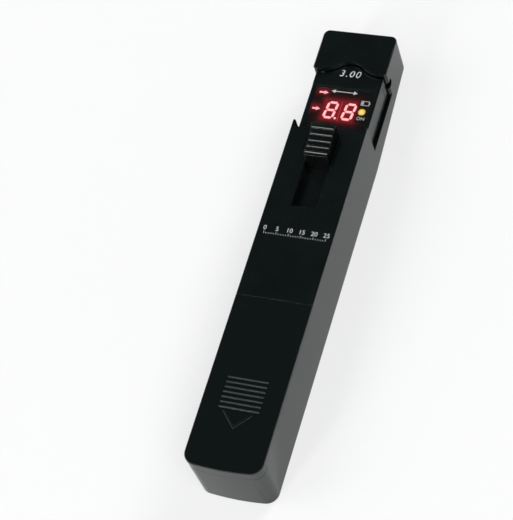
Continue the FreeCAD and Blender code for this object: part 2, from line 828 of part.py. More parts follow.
def spring_guide():
    rod = doc.addObject("Part::Cylinder", "GuideRod")
    collar = doc.addObject("Part::Cylinder", "GuideCollar")
    parts = ((rod, "guide_radius", "bulkhead_near", "guide_tip"),
             (collar, "collar_radius", "spring_near - collar_thickness", "spring_near"))
    for cylinder, radius, low, high in parts:
        cylinder.setExpression("Radius", tied(radius))
        cylinder.setExpression("Height", tied(f"({high}) - ({low})"))
        cylinder.Placement.Rotation = FreeCAD.Rotation(FreeCAD.Vector(1, 0, 0), -90)
        place(cylinder, "0", low, "spring_axis_height")
    guide = doc.addObject("Part::Fuse", "spring_guide")
    guide.Base = rod
    guide.Tool = collar
    node(guide, "spring_guide")


def clamp_spring():
    """A coil of short straight runs along the guide, from its collar to the slide's tail."""
    wire = value("spring_wire_radius")
    radius = value("spring_mean_radius")
    turns = value("spring_turns")
    runs = round(turns * value("spring_runs_per_turn"))
    rise = value("spring_length") - 2 * wire
    points = []
    for run in range(runs + 1):
        angle = 2 * math.pi * turns * run / runs
        points.append(FreeCAD.Vector(radius * math.cos(angle), radius * math.sin(angle), rise * run / runs))
    ring = []
    for side in range(6):
        angle = math.pi * side / 3
        ring.append(FreeCAD.Vector(radius + wire * math.cos(angle), 0, wire * math.sin(angle)))
    section = Part.makePolygon(ring + ring[:1])
    spring = doc.addObject("Part::Feature", "clamp_spring")
    spring.Shape = Part.makePolygon(points).makePipeShell([section], True, False, 1)
    spring.Placement.Rotation = FreeCAD.Rotation(FreeCAD.Vector(1, 0, 0), -90)
    place(spring, "0", "spring_near + spring_wire_radius", "spring_axis_height")
    node(spring, "clamp_spring")


# Battery
def battery_block():
    body = new_body("battery_block")
    half = "battery_width / 2"
    case = rectangle(f"-({half})", half, "battery_rest_height", "battery_top", "battery_edge_radius")
    prism(body, "XZ_Plane", case, "battery_near", "battery_far")
    snap_far = "battery_far + snap_height"
    posts(body, "XZ_Plane", [("snap_spacing / 2", "snap_axis_height")], "snap_stud_radius",
          "battery_far", snap_far)
    socket = [("-snap_spacing / 2", "snap_axis_height")]
    posts(body, "XZ_Plane", socket, "snap_ring_radius", "battery_far", snap_far)
    holes(body, "XZ_Plane", socket, "snap_stud_radius + snap_play", "battery_far", snap_far)


def terminal_plate():
    plate = doc.addObject("Part::Box", "terminal_plate")
    plate.setExpression("Length", tied("battery_width"))
    plate.setExpression("Width", tied("terminal_plate_thickness"))
    plate.setExpression("Height", tied("battery_thickness"))
    place(plate, "-battery_width / 2", "plate_near", "battery_rest_height")
    node(plate, "terminal_plate")


def snap_cylinder(radius, x):
    cylinder = doc.addObject("Part::Cylinder", "SnapCylinder")
    cylinder.setExpression("Radius", tied(radius))
    cylinder.setExpression("Height", tied("snap_height"))
    cylinder.Placement.Rotation = FreeCAD.Rotation(FreeCAD.Vector(1, 0, 0), -90)
    place(cylinder, x, "plate_near - snap_height", "snap_axis_height")
    return cylinder


def battery_contacts():
    """A socket over the battery's stud and a stud in the battery's socket."""
    socket = doc.addObject("Part::Cut", "SnapSocket")
    socket.Base = snap_cylinder("snap_ring_radius", "snap_spacing / 2")
    socket.Tool = snap_cylinder("snap_stud_radius + snap_play", "snap_spacing / 2")
    contacts = doc.addObject("Part::Compound", "battery_contacts")
    contacts.Links = [socket, snap_cylinder("snap_stud_radius", "-snap_spacing / 2")]
    node(contacts, "battery_contacts")


def battery_cover():
    body = new_body("battery_cover")
    far_edge = "battery_bay_length - parting_gap / 2"
    plan = bowed_end() + [("half_width", far_edge), ("-(half_width)", far_edge)]
    prism(body, "XY_Plane", plan, "battery_cover_low", "body_depth")

    def front_edge(middle, box):
        return near(middle.z, value("body_depth")) and not near(middle.y, value(far_edge))
    bevel_edges(body, "cover_edge_bevel", front_edge)

    skirt = bowed_end() + [
        ("half_width", "skirt_end"),
        ("battery_bay_half", "skirt_end"),
        ("battery_bay_half", "end_wall", "inner_corner_radius"),
        ("-(battery_bay_half)", "end_wall", "inner_corner_radius"),
        ("-(battery_bay_half)", "skirt_end"),
        ("-(half_width)", "skirt_end"),
    ]
    prism(body, "XY_Plane", skirt, "rail_low", "battery_cover_low")
    inner = "rail_half - rail_wall"
    lip = "rail_half + rail_lip"
    lip_top = "rail_low + rail_lip_height"
    for side in (1, -1):
        rail = [
            (f"{side} * ({inner})", "rail_low"),
            (f"{side} * ({lip})", "rail_low"),
            (f"{side} * ({lip})", lip_top),
            (f"{side} * (rail_half)", lip_top),
            (f"{side} * (rail_half)", "battery_cover_low"),
            (f"{side} * ({inner})", "battery_cover_low"),
        ]
        prism(body, "XZ_Plane", rail, "rail_setback", "rail_setback + rail_length")

    rib = rectangle("-grip_rib_length / 2", "grip_rib_length / 2",
                    "grip_rib_start - grip_rib_width / 2", "grip_rib_start + grip_rib_width / 2")
    first_rib = prism(body, "XY_Plane", rib, "body_depth", "body_depth + grip_rib_height")
    pattern = body.newObject("PartDesign::LinearPattern", "GripRibs")
    pattern.Originals = [first_rib]
    pattern.Direction = (first_rib.Profile[0], ["V_Axis"])
    pattern.setExpression("Length", tied("grip_rib_pitch * (grip_rib_count - 1)"))
    pattern.setExpression("Occurrences", tied("grip_rib_count"))
    body.Tip = pattern
    check(pattern)
    reach = "chevron_width / 2"
    chevron = [
        ("0", "chevron_tip"),
        (reach, "chevron_tip + chevron_height"),
        (reach, "chevron_tip + chevron_height + chevron_stroke"),
        ("0", "chevron_tip + chevron_stroke"),
        (f"-({reach})", "chevron_tip + chevron_height + chevron_stroke"),
        (f"-({reach})", "chevron_tip + chevron_height"),
    ]
    prism(body, "XY_Plane", chevron, "body_depth", "body_depth + chevron_relief")


# Moving slide
def slide_plan():
    """Plan of the slide: wide display block, narrow tail and the bar that the spring pushes."""
    bar = "tail_bar_width / 2"
    return [
        (f"-({bar})", "bar_low"),
        (bar, "bar_low"),
        (bar, "tail_low"),
        ("tail_half", "tail_low"),
        ("tail_half", "wide_low"),
        ("slider_half", "wide_low"),
        ("slider_half", "slider_top"),
        ("-(slider_half)", "slider_top"),
        ("-(slider_half)", "wide_low"),
        ("-(tail_half)", "wide_low"),
        ("-(tail_half)", "tail_low"),
        (f"-({bar})", "tail_low"),
    ]


def tee_plan(half, tail, near_end, shoulder, far_end):
    return [
        (f"-({tail})", near_end),
        (tail, near_end),
        (tail, shoulder),
        (half, shoulder),
        (half, far_end),
        (f"-({half})", far_end),
        (f"-({half})", shoulder),
        (f"-({tail})", shoulder),
    ]


def board_posts(body, low, high):
    """Four posts that hold the board from one side."""
    centres = pair("wide_post_x", "wide_post_y") + pair("tail_post_x", "tail_post_y")
    blocks(body, centres, "board_post_width / 2", "board_post_width / 2", low, high)


def slider_shell():
    body = new_body("slider_shell")
    prism(body, "XY_Plane", slide_plan(), "shell_low", "slider_front")

    def front_edge(middle, box):
        along = near(abs(middle.x), value("slider_half")) and near(box.XLength, 0)
        return along and near(middle.z, value("slider_front"))
    round_edges(body, "front_edge_radius", front_edge)

    play = "board_play"
    inside = tee_plan(f"board_half + {play}", f"board_tail_half + {play}", f"board_near - {play}",
                      f"board_shoulder - {play}", f"board_far + {play}")
    hollow(body, "XY_Plane", inside, "shell_low", "shell_inside")
    tongue = rectangle("-(slider_half)", "slider_half", "slider_top", "slider_top + tongue_length")
    prism(body, "XY_Plane", tongue, "tongue_low", "tongue_high")

    half = "window_width / 2"
    recess = rectangle(f"-({half})", half, "window_near", "window_far", "window_corner_radius")
    hollow(body, "XY_Plane", recess, "window_low", "slider_front")
    inner = f"{half} - window_ledge"
    opening = rectangle(f"-({inner})", inner, "window_near + window_ledge", "window_far - window_ledge")
    hollow(body, "XY_Plane", opening, "shell_inside", "window_low")

    board_posts(body, "board_top", "shell_inside")
    holes(body, "XY_Plane", grip_pegs(), "grip_peg_radius + window_play", "shell_inside", "slider_front")
    holes(body, "XZ_Plane", [("0", "spring_axis_height")],
          "spring_mean_radius + spring_wire_radius + spring_seat_play",
          "bar_low", "bar_low + spring_seat_depth")


def slider_base():
    body = new_body("slider_base")
    prism(body, "XY_Plane", slide_plan(), "slider_low", "shell_low")
    board_posts(body, "shell_low", "board_low")


def grip_pegs():
    middle = "(grip_near + grip_far) / 2"
    return [("0", f"{middle} - grip_peg_spacing / 2"), ("0", f"{middle} + grip_peg_spacing / 2")]


def thumb_grip():
    """A block with a dished top, cross ridges that follow the dish and two pegs in the slide."""
    body = new_body("thumb_grip")
    low_top = "slider_front + grip_low_height"
    high_top = "slider_front + grip_high_height"
    side = [
        ("grip_near", "slider_front"),
        ("grip_far", "slider_front"),
        ("grip_far", high_top),
        arc("grip_dish_radius", -1),
        ("grip_near", low_top),
    ]
    prism(body, "YZ_Plane", side, "-(grip_half)", "grip_half")

    def upright_edge(middle, box):
        return near(box.XLength, 0) and near(box.YLength, 0)
    round_edges(body, "grip_corner_radius", upright_edge)

    rise = "(grip_high_height - grip_low_height)"
    chord = f"sqrt(grip_length ^ 2 + {rise} ^ 2)"
    reach = f"sqrt(grip_dish_radius ^ 2 - {chord} ^ 2 / 4)"
    centre_y = f"(grip_near + grip_far) / 2 - {reach} * {rise} / {chord}"
    centre_z = f"slider_front + (grip_low_height + grip_high_height) / 2 + {reach} * grip_length / {chord}"
    tilt = f"atan({rise} / grip_length)"
    step = "(grip_ridge_pitch / grip_dish_radius * 180 / pi)"
    first = f"({tilt} - {step} * 1deg * (grip_ridge_count - 1) / 2)"
    ridge_half = "grip_half - grip_corner_radius / 2"
    sketch = new_sketch(body, "YZ_Plane", f"-({ridge_half})")
    sketch.setExpression("AttachmentOffset.Base.x", tied(centre_y))
    sketch.setExpression("AttachmentOffset.Base.y", tied(centre_z))
    spot = (f"grip_dish_radius * sin{first}", f"-grip_dish_radius * cos{first}")
    draw_circles(sketch, [spot], "grip_ridge_radius")
    ridge = add(body, sketch, f"-({ridge_half})", ridge_half)
    ridges = body.newObject("PartDesign::PolarPattern", "Ridges")
    ridges.Originals = [ridge]
    ridges.Axis = (sketch, ["N_Axis"])
    ridges.setExpression("Angle", tied(f"{step} * (grip_ridge_count - 1) * 1deg"))
    ridges.setExpression("Occurrences", tied("grip_ridge_count"))
    body.Tip = ridges
    check(ridges)
    posts(body, "XY_Plane", grip_pegs(), "grip_peg_radius", "slider_front - grip_peg_length",
          "slider_front")


def fibre_adapter():
    body = new_body("fibre_adapter")
    plan = [("-(slider_half)", "slider_top"), ("slider_half", "slider_top"),
            ("slider_half", "adapter_line")]
    plan += bump("adapter_line", 1) + [("-(slider_half)", "adapter_line")]
    prism(body, "XY_Plane", plan, "adapter_low", "slider_front")
    groove = rectangle("slider_top - overcut", "slider_top + tongue_length + tongue_play",
                       "tongue_low - tongue_play", "tongue_high + tongue_play")
    hollow(body, "YZ_Plane", groove, "-(slider_half)", "slider_half")


def display_window():
    body = new_body("display_window")
    half = "window_width / 2 - window_play"
    pane = rectangle(f"-({half})", half, "window_near + window_play", "window_far - window_play",
                     "window_corner_radius - window_play")
    prism(body, "XY_Plane", pane, "window_low", "slider_front")


def main_board():
    body = new_body("main_board")
    plan = tee_plan("board_half", "board_tail_half", "board_near", "board_shoulder", "board_far")
    prism(body, "XY_Plane", plan, "board_low", "board_top")


def board_block(label, x, y, width, length, height):
    """A rectangular piece that stands on the main board, given by its middle."""
    block = doc.addObject("Part::Box", label)
    block.setExpression("Length", tied(width))
    block.setExpression("Width", tied(length))
    block.setExpression("Height", tied(height))
    place(block, f"({x}) - ({width}) / 2", f"({y}) - ({length}) / 2", "board_top")
    node(block, label)


def arrow_lamp(label, x, y, length, width):
    """A lamp whose lens is an arrow that points to the right, given by its middle."""
    body = new_body(label)
    tip = f"({x}) + ({length}) / 2"
    neck = f"{tip} - arrow_head_length"
    tail = f"({x}) - ({length}) / 2"
    outline = [
        (tail, f"{y} - arrow_shaft / 2"),
        (neck, f"{y} - arrow_shaft / 2"),
        (neck, f"{y} - ({width}) / 2"),
        (tip, y),
        (neck, f"{y} + ({width}) / 2"),
        (neck, f"{y} + arrow_shaft / 2"),
        (tail, f"{y} + arrow_shaft / 2"),
    ]
    prism(body, "XY_Plane", outline, "board_top", "board_top + lamp_height")


def round_lamp(label, x, y, radius):
    lamp = doc.addObject("Part::Cylinder", label)
    lamp.setExpression("Radius", tied(radius))
    lamp.setExpression("Height", tied("lamp_height"))
    place(lamp, x, y, "board_top")
    node(lamp, label)


def bar_outline(middle_x, middle_y, length, upright):
    """A segment's outline: a bar with pointed ends, slanted with its digit."""
    half = f"(({length}) / 2 - digit_bar_gap)"
    thick = "digit_stroke / 2"
    points = [
        (f"-{half}", "0"),
        (f"-{half} + {thick}", f"-{thick}"),
        (f"{half} - {thick}", f"-{thick}"),
        (half, "0"),
        (f"{half} - {thick}", thick),
        (f"-{half} + {thick}", thick),
    ]
    corners = []
    for along, across in points:
        x, y = (across, along) if upright else (along, across)
        height = f"({middle_y} + {y})"
        lean = f"tan(digit_slant_angle * 1deg) * {height}"
        corners.append((f"digit_x + {middle_x} + {x} + {lean}", f"display_line + {height}"))
    return corners


def digit_segments(label, x, with_dot):
    """The seven lit bars of one digit, on the face of its module."""
    body = new_body(label)
    across = "(digit_width - digit_stroke)"
    tall = "((digit_height - digit_stroke) / 2)"
    low = "board_top + digit_module_height"
    sketch = new_sketch(body, "XY_Plane", low)
    bars = [("0", f"{row} * {tall}", across, False) for row in (-1, 0, 1)]
    for side in (-1, 1):
        bars += [(f"{side} * {across} / 2", f"{row} * {tall} / 2", tall, True) for row in (-1, 1)]
    for bar in bars:
        corners = bar_outline(*bar)
        draw_outline(sketch, [(u.replace("digit_x", f"({x})"), v) for u, v in corners])
    if with_dot:
        spot = (f"({x}) + digit_width / 2 + digit_stroke / 4", f"display_line - {tall}")
        draw_circles(sketch, [spot], "digit_dot_radius")
    add(body, sketch, low, f"{low} + digit_bar_relief")


# Screws
def screw_group(label, centres, seat, length):
    """Pan-head screws driven from the back, their heads seated at one height."""
    body = new_body(label)
    posts(body, "XY_Plane", centres, "screw_head_radius", f"{seat} - screw_head_height", seat)
    posts(body, "XY_Plane", centres, "screw_radius", seat, f"{seat} + {length}")


def detector_board():
    board = doc.addObject("Part::Box", "detector_board")
    board.setExpression("Length", tied("detector_board_width"))
    board.setExpression("Width", tied("detector_board_thickness"))
    board.setExpression("Height", tied("detector_board_height"))
    place(board, "-detector_board_width / 2", "detector_far", "fibre_height - detector_board_height / 2")
    node(board, "detector_board")


rear_housing()
front_cover()
head_cover()
anvil_block()
photodiode("photodiode_left", "-")
photodiode("photodiode_right", "")
detector_board()
spring_guide()
clamp_spring()
battery_block()
terminal_plate()
battery_contacts()
screw_group("housing_screws", pair("tub_screw_x", "tub_screw_y"), "tub_screw_recess",
            "tub_screw_length")
screw_group("head_screws", pair("head_screw_x", "head_screw_y"), "head_screw_recess",
            "head_screw_length")
battery_cover()
slider_shell()
slider_base()
thumb_grip()
fibre_adapter()
display_window()
main_board()
for side, digit_x in (("left", "-(digit_spread)"), ("right", "digit_spread")):
    board_block(f"digit_module_{side}", digit_x, "display_line", "digit_module_width",
                "digit_module_length", "digit_module_height")
    digit_segments(f"digit_segments_{side}", digit_x, side == "left")
arrow_lamp("traffic_led", "traffic_led_x", "slider_top - traffic_led_drop", "traffic_led_length",
           "traffic_led_width")
arrow_lamp("sign_led", "-(digits_half + sign_led_gap + sign_led_length / 2)",
           "slider_top - sign_led_drop", "sign_led_length", "sign_led_width")
round_lamp("battery_led", "digits_half + battery_led_gap + battery_led_radius",
           "slider_top - battery_led_drop", "battery_led_radius")
board_block("controller_chip", "0", "board_near + chip_lead", "chip_width", "chip_width",
            "chip_thickness")

doc.recompute()
for item in doc.Objects:
    if "Invalid" in item.State or "Error" in item.State:
        raise RuntimeError(f"{item.Label} failed")
os.makedirs("parts", exist_ok=True)
for item in NODES:
    if item.Shape.isNull() or not item.Shape.isValid():
        raise RuntimeError(f"{item.Label} has no valid shape")
    item.Shape.exportStep(f"parts/{item.Label}.step")
    box = item.Shape.BoundBox
    print(f"{item.Label:22s} solids {len(item.Shape.Solids)}  volume {item.Shape.Volume:9.1f}  "
          f"X {box.XMin:7.2f} {box.XMax:7.2f}  Y {box.YMin:7.2f} {box.YMax:7.2f}  "
          f"Z {box.ZMin:6.2f} {box.ZMax:6.2f}")
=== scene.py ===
import bmesh
import bpy
import math
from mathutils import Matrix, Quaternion, Vector


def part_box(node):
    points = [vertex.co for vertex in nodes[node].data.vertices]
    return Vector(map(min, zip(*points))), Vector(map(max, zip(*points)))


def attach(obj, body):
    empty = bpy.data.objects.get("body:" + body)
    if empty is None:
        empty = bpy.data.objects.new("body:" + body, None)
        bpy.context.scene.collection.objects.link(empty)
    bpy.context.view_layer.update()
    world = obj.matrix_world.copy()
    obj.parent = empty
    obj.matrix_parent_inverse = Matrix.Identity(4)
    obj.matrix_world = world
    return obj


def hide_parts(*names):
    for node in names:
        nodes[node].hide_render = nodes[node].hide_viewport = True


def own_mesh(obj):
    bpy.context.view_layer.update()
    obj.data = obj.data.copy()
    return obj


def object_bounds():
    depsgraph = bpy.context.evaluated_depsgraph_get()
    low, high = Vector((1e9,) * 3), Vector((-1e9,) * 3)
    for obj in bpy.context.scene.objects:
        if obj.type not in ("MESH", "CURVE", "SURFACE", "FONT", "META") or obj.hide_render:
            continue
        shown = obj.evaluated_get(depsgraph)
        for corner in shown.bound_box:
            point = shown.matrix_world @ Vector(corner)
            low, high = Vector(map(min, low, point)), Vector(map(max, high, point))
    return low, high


# Optical fibre identifier: finishes, lit display, spring, screws, printed marks, studio and camera
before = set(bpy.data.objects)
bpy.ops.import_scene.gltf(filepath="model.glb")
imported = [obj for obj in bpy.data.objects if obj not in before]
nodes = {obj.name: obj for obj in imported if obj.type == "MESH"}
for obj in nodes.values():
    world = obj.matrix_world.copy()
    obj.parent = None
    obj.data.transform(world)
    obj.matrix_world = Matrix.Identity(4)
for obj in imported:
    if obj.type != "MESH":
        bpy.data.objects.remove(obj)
cad_low, cad_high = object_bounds()

# All lengths are in metres
MM = 0.001
MICRON = 0.001 * MM

# Front faces that carry print, and the thickness of the print on them
COVER_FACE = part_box("front_cover")[1].z
SLIDE_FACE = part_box("slider_shell")[1].z
PRINT_DEPTH = 0.03 * MM

# Noise sizes, in cells per metre, and the part of its range that noise mostly fills
DRIFT_CELLS = 90
SMUDGE_CELLS = 55
SKIN_CELLS = 3500
HIGHLIGHT_AND_RUB_CELLS = 500
GRAIN_CELLS = 1500
WEAVE_CELLS = 4000
TRACK_CELLS = 160
JACKET_CELLS = 300
LIGHT_CELLS = 1400
DUST_CELLS = 120
INK_CELLS = 2600
CLOUD_CELLS = 3
NOISE_LOW, NOISE_HIGH = 0.3, 0.7

# Moulded plastic: gloss, relief of its skin and rounding of its edges
PLASTIC_IOR = 1.5
GLOSS_TINT = (0.94, 1.0, 0.995, 1.0)
SKIN_RELIEF = 0.6 * MICRON
GRIP_RELIEF = 1.5 * MICRON
SHARP_EDGE = 0.10 * MM
PLAIN_EDGE = 0.25 * MM
SOFT_EDGE = 0.30 * MM
EDGE_SAMPLES = 6


# Shader helpers
class Shader:
    """A material with one Principled shader, and short calls for the nodes around it."""

    def __init__(self, name):
        self.material = bpy.data.materials.new(name)
        self.material.use_nodes = True
        self.tree = self.material.node_tree
        self.surface = self.tree.nodes["Principled BSDF"]
        self.place = self.add("ShaderNodeTexCoord").outputs["Object"]

    def add(self, kind, **settings):
        made = self.tree.nodes.new(kind)
        for key, setting in settings.items():
            setattr(made, key, setting)
        return made

    def link(self, source, target):
        self.tree.links.new(source, target)

    def into(self, name, source):
        """Feeds an input of the Principled shader."""
        self.link(source, self.surface.inputs[name])

    def put(self, **sockets):
        """Sets plain values on the Principled shader, named with underscores for spaces."""
        for key, setting in sockets.items():
            self.surface.inputs[key.replace("_", " ")].default_value = setting

    def split(self, vector):
        """X, Y and Z of a vector, by name."""
        made = self.add("ShaderNodeSeparateXYZ")
        self.link(vector, made.inputs["Vector"])
        return made.outputs

    def noise(self, cells, detail=3.0, roughness=0.5, stretch=(1, 1, 1)):
        """Noise in the object's own space."""
        stretched = self.add("ShaderNodeVectorMath", operation="MULTIPLY")
        stretched.inputs[1].default_value = stretch
        self.link(self.place, stretched.inputs[0])
        made = self.add("ShaderNodeTexNoise")
        made.inputs["Scale"].default_value = cells
        made.inputs["Detail"].default_value = detail
        made.inputs["Roughness"].default_value = roughness
        self.link(stretched.outputs["Vector"], made.inputs["Vector"])
        return made.outputs["Fac"]

    def ramp(self, source, stops):
        """Colour ramp through (position, colour) stops."""
        made = self.add("ShaderNodeValToRGB")
        while len(made.color_ramp.elements) < len(stops):
            made.color_ramp.elements.new(0.5)
        for element, (position, colour) in zip(made.color_ramp.elements, stops):
            element.position = position
            element.color = (*colour, 1.0)
        self.link(source, made.inputs["Fac"])
        return made.outputs["Color"]

    def mottled(self, source, first, second):
        """Two colours mixed by a noise."""
        return self.ramp(source, [(NOISE_LOW, first), (NOISE_HIGH, second)])

    def span(self, source, low, high, start=0.0, end=1.0):
        """Maps a value from the span start..end to low..high, held at both ends."""
        made = self.add("ShaderNodeMapRange", clamp=True)
        for name, number in (("From Min", start), ("From Max", end), ("To Min", low), ("To Max", high)):
            made.inputs[name].default_value = number
        self.link(source, made.inputs["Value"])
        return made.outputs["Result"]

    def smudges(self, smooth, dull):
        """Roughness in soft patches, as from handling."""
        smudge = self.noise(SMUDGE_CELLS, detail=6, roughness=0.62)
        return self.span(smudge, smooth, dull, start=0.35, end=0.75)

    def math(self, operation, first, second=0):
        made = self.add("ShaderNodeMath", operation=operation)
        for socket, item in zip(made.inputs, (first, second)):
            if isinstance(item, (int, float)):
                socket.default_value = item
            else:
                self.link(item, socket)
        return made.outputs[0]

    def off_middle(self, source, low, high):
        """How far a coordinate is from the middle of the span low..high."""
        return self.math("ABSOLUTE", self.math("SUBTRACT", source, (low + high) / 2))

    def length(self, across, along):
        squares = [self.math("MULTIPLY", side, side) for side in (across, along)]
        return self.math("SQRT", self.math("ADD", *squares))

    def on_top(self, height, top, level):
        """A level that holds on a piece's top face and fades out just below it."""
        return self.span(height, 0.0, level, start=top - 0.10 * MM, end=top - 0.05 * MM)

    def face_normal(self):
        return self.add("ShaderNodeNewGeometry").outputs["Normal"]

    def rounded_normal(self, radius, samples=EDGE_SAMPLES):
        """The surface's direction as if its edges had a small rounding."""
        made = self.add("ShaderNodeBevel", samples=samples)
        made.inputs["Radius"].default_value = radius
        return made.outputs["Normal"]

    def bump(self, height, distance, rounding=0.0):
        """Surface relief, on edges softened by a small rounding."""
        made = self.add("ShaderNodeBump")
        made.inputs["Distance"].default_value = distance
        self.link(height, made.inputs["Height"])
        if rounding:
            self.link(self.rounded_normal(rounding), made.inputs["Normal"])
        self.into("Normal", made.outputs["Normal"])


def finish(shader, *names):
    """Gives a finish to CAD nodes or to new pieces."""
    for name in names:
        mesh = nodes[name].data if isinstance(name, str) else name.data
        mesh.materials.clear()
        mesh.materials.append(shader.material)


# Black mouldings
def moulded_plastic(name, dark, light, smooth, dull, relief=SKIN_RELIEF, rounding=PLAIN_EDGE):
    """Moulded plastic: faint colour drift, handling smudges in the gloss and a fine skin."""
    shader = Shader(name)
    shader.into("Base Color", shader.mottled(shader.noise(DRIFT_CELLS, detail=4), dark, light))
    shader.into("Roughness", shader.smudges(smooth, dull))
    shader.bump(shader.noise(SKIN_CELLS, detail=2), relief, rounding)
    shader.put(IOR=PLASTIC_IOR, Specular_Tint=GLOSS_TINT)
    return shader


def ribbed_cover():
    """The housing's moulding, rubbed dull on its raised ribs, whose tops carry a painted highlight in
    lighter grey, and dulled along its bevelled edge.
    """
    plain, rib_highlight_grey = (0.0029, 0.0046, 0.0046), (0.034, 0.054, 0.046)
    rib_start, rib_top = COVER_FACE + 0.36 * MM, COVER_FACE + 0.42 * MM
    worn_dulling, edge_dulling = 0.25, 0.45
    shader = Shader("cover_black")
    height = shader.split(shader.place)["Z"]
    raised = shader.span(height, 0.0, 1.0, start=rib_start, end=rib_top)
    highlight_and_rub = shader.span(shader.noise(HIGHLIGHT_AND_RUB_CELLS), low=0.65, high=1.0, start=0.35, end=0.65)
    # Rib-top mask: it dulls the gloss there and lightens the colour there as a painted highlight
    worn = shader.math("MULTIPLY", raised, highlight_and_rub)
    facing_up = shader.split(shader.rounded_normal(SOFT_EDGE))["Z"]
    off_flat = shader.span(facing_up, 1.0, 0.0, start=0.93, end=0.98)
    off_wall = shader.span(facing_up, 0.0, 1.0, start=0.05, end=0.20)
    below_ribs = shader.span(height, 1.0, 0.0, start=COVER_FACE, end=COVER_FACE + 0.05 * MM)
    edge = shader.math("MULTIPLY", shader.math("MULTIPLY", off_flat, off_wall), below_ribs)
    worn_part = shader.math("MULTIPLY", worn, worn_dulling)
    edge_part = shader.math("MULTIPLY", edge, edge_dulling)
    dulled = shader.math("ADD", worn_part, edge_part)
    # Painted highlight: the rib tops are a lighter grey, standing for light caught on them
    shader.into("Base Color", shader.ramp(worn, [(0.0, plain), (1.0, rib_highlight_grey)]))
    shader.into("Roughness", shader.math("ADD", shader.smudges(*HOUSING_GLOSS), dulled))
    shader.bump(shader.noise(SKIN_CELLS, detail=2), SKIN_RELIEF, SOFT_EDGE)
    shader.put(IOR=PLASTIC_IOR, Specular_Tint=GLOSS_TINT)
    return shader


BLACK, SOFT_BLACK = (0.0021, 0.0034, 0.0034), (0.0036, 0.0058, 0.0057)
GRIP_BLACK, GRIP_SOFT_BLACK = (0.0012, 0.0013, 0.0013), (0.0026, 0.0028, 0.0028)
ANVIL_BLACK, ANVIL_SOFT_BLACK = (0.005, 0.005, 0.006), (0.010, 0.010, 0.011)
CHIP_BLACK, CHIP_SOFT_BLACK = (0.012, 0.012, 0.012), (0.02, 0.02, 0.02)
HOUSING_GLOSS = (0.07, 0.17)
SLIDE_GLOSS = (0.20, 0.30)
GRIP_GLOSS = (0.12, 0.20)
ANVIL_GLOSS = (0.3, 0.45)
CHIP_GLOSS = (0.4, 0.55)
housing_black = moulded_plastic("housing_black", BLACK, SOFT_BLACK, *HOUSING_GLOSS, rounding=SHARP_EDGE)
slide_black = moulded_plastic("slide_black", BLACK, SOFT_BLACK, *SLIDE_GLOSS)
grip_black = moulded_plastic("grip_black", GRIP_BLACK, GRIP_SOFT_BLACK, *GRIP_GLOSS, GRIP_RELIEF)
anvil_black = moulded_plastic("anvil_black", ANVIL_BLACK, ANVIL_SOFT_BLACK, *ANVIL_GLOSS)
chip_epoxy = moulded_plastic("chip_epoxy", CHIP_BLACK, CHIP_SOFT_BLACK, *CHIP_GLOSS)
finish(housing_black, "rear_housing", "front_cover", "head_cover")
finish(ribbed_cover(), "battery_cover")
finish(slide_black, "slider_shell", "slider_base", "fibre_adapter")
finish(grip_black, "thumb_grip")
finish(anvil_black, "anvil_block")
finish(chip_epoxy, "controller_chip")


# Metal, boards and battery
def plated_metal(name, dark, light, smooth, dull, stretch):
    """Plated metal with a fine drawn grain."""
    shader = Shader(name)
    grain = shader.noise(GRAIN_CELLS, detail=4, roughness=0.6, stretch=stretch)
    shader.into("Base Color", shader.mottled(grain, dark, light))
    shader.into("Roughness", shader.span(grain, smooth, dull, NOISE_LOW, NOISE_HIGH))
    shader.bump(grain, 2 * MICRON)
    shader.put(Metallic=1.0)
    return shader


def laminate():
    """Green board with a fine weave and lighter tracks."""
    settings = {
        "Scale": TRACK_CELLS,
        "Mortar Size": 0.03,
        "Color1": (0.012, 0.085, 0.035, 1.0),
        "Color2": (0.016, 0.105, 0.045, 1.0),
        "Mortar": (0.035, 0.20, 0.09, 1.0),
    }
    shader = Shader("board_laminate")
    tracks = shader.add("ShaderNodeTexBrick", offset=0.35, squash=1.6)
    for name, setting in settings.items():
        tracks.inputs[name].default_value = setting
    shader.link(shader.place, tracks.inputs["Vector"])
    shader.into("Base Color", tracks.outputs["Color"])
    shader.into("Roughness", shader.span(shader.noise(WEAVE_CELLS, detail=2), low=0.3, high=0.45))
    shader.bump(tracks.outputs["Fac"], 10 * MICRON)
    return shader


def battery_jacket():
    """Plain grey battery jacket, folded over at both ends onto bare steel."""
    steel, dull_steel = (0.5, 0.49, 0.46), (0.46, 0.45, 0.43)
    grey, pale_grey = (0.15, 0.16, 0.18), (0.19, 0.20, 0.22)
    low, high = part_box("battery_block")
    shader = Shader("battery_jacket")
    along = shader.span(shader.split(shader.place)["Y"], 0.0, 1.0, start=low.y, end=high.y)
    bands = [(0.0, steel), (0.03, dull_steel), (0.035, grey), (0.93, pale_grey), (0.935, steel)]
    shader.into("Base Color", shader.ramp(along, bands))
    rub = shader.noise(JACKET_CELLS, detail=5)
    shader.into("Roughness", shader.span(rub, low=0.25, high=0.42))
    shader.bump(rub, 10 * MICRON)
    shader.put(Metallic=0.6)
    return shader


ZINC, PALE_ZINC = (0.42, 0.42, 0.43), (0.62, 0.62, 0.61)
NICKEL, PALE_NICKEL = (0.55, 0.53, 0.49), (0.75, 0.73, 0.69)
zinc = plated_metal("zinc_plate", ZINC, PALE_ZINC, smooth=0.22, dull=0.38, stretch=(1, 1, 0.2))
nickel = plated_metal("nickel_plate", NICKEL, PALE_NICKEL, smooth=0.15, dull=0.28, stretch=(1, 0.2, 1))
finish(zinc, "spring_guide")
finish(nickel, "photodiode_left", "photodiode_right", "battery_contacts")
finish(laminate(), "main_board", "detector_board", "terminal_plate")
finish(battery_jacket(), "battery_block")

# Lit pieces
LAMP_ROUGHNESS = 0.3
UNLIT_RED = (0.02, 0.002, 0.002)


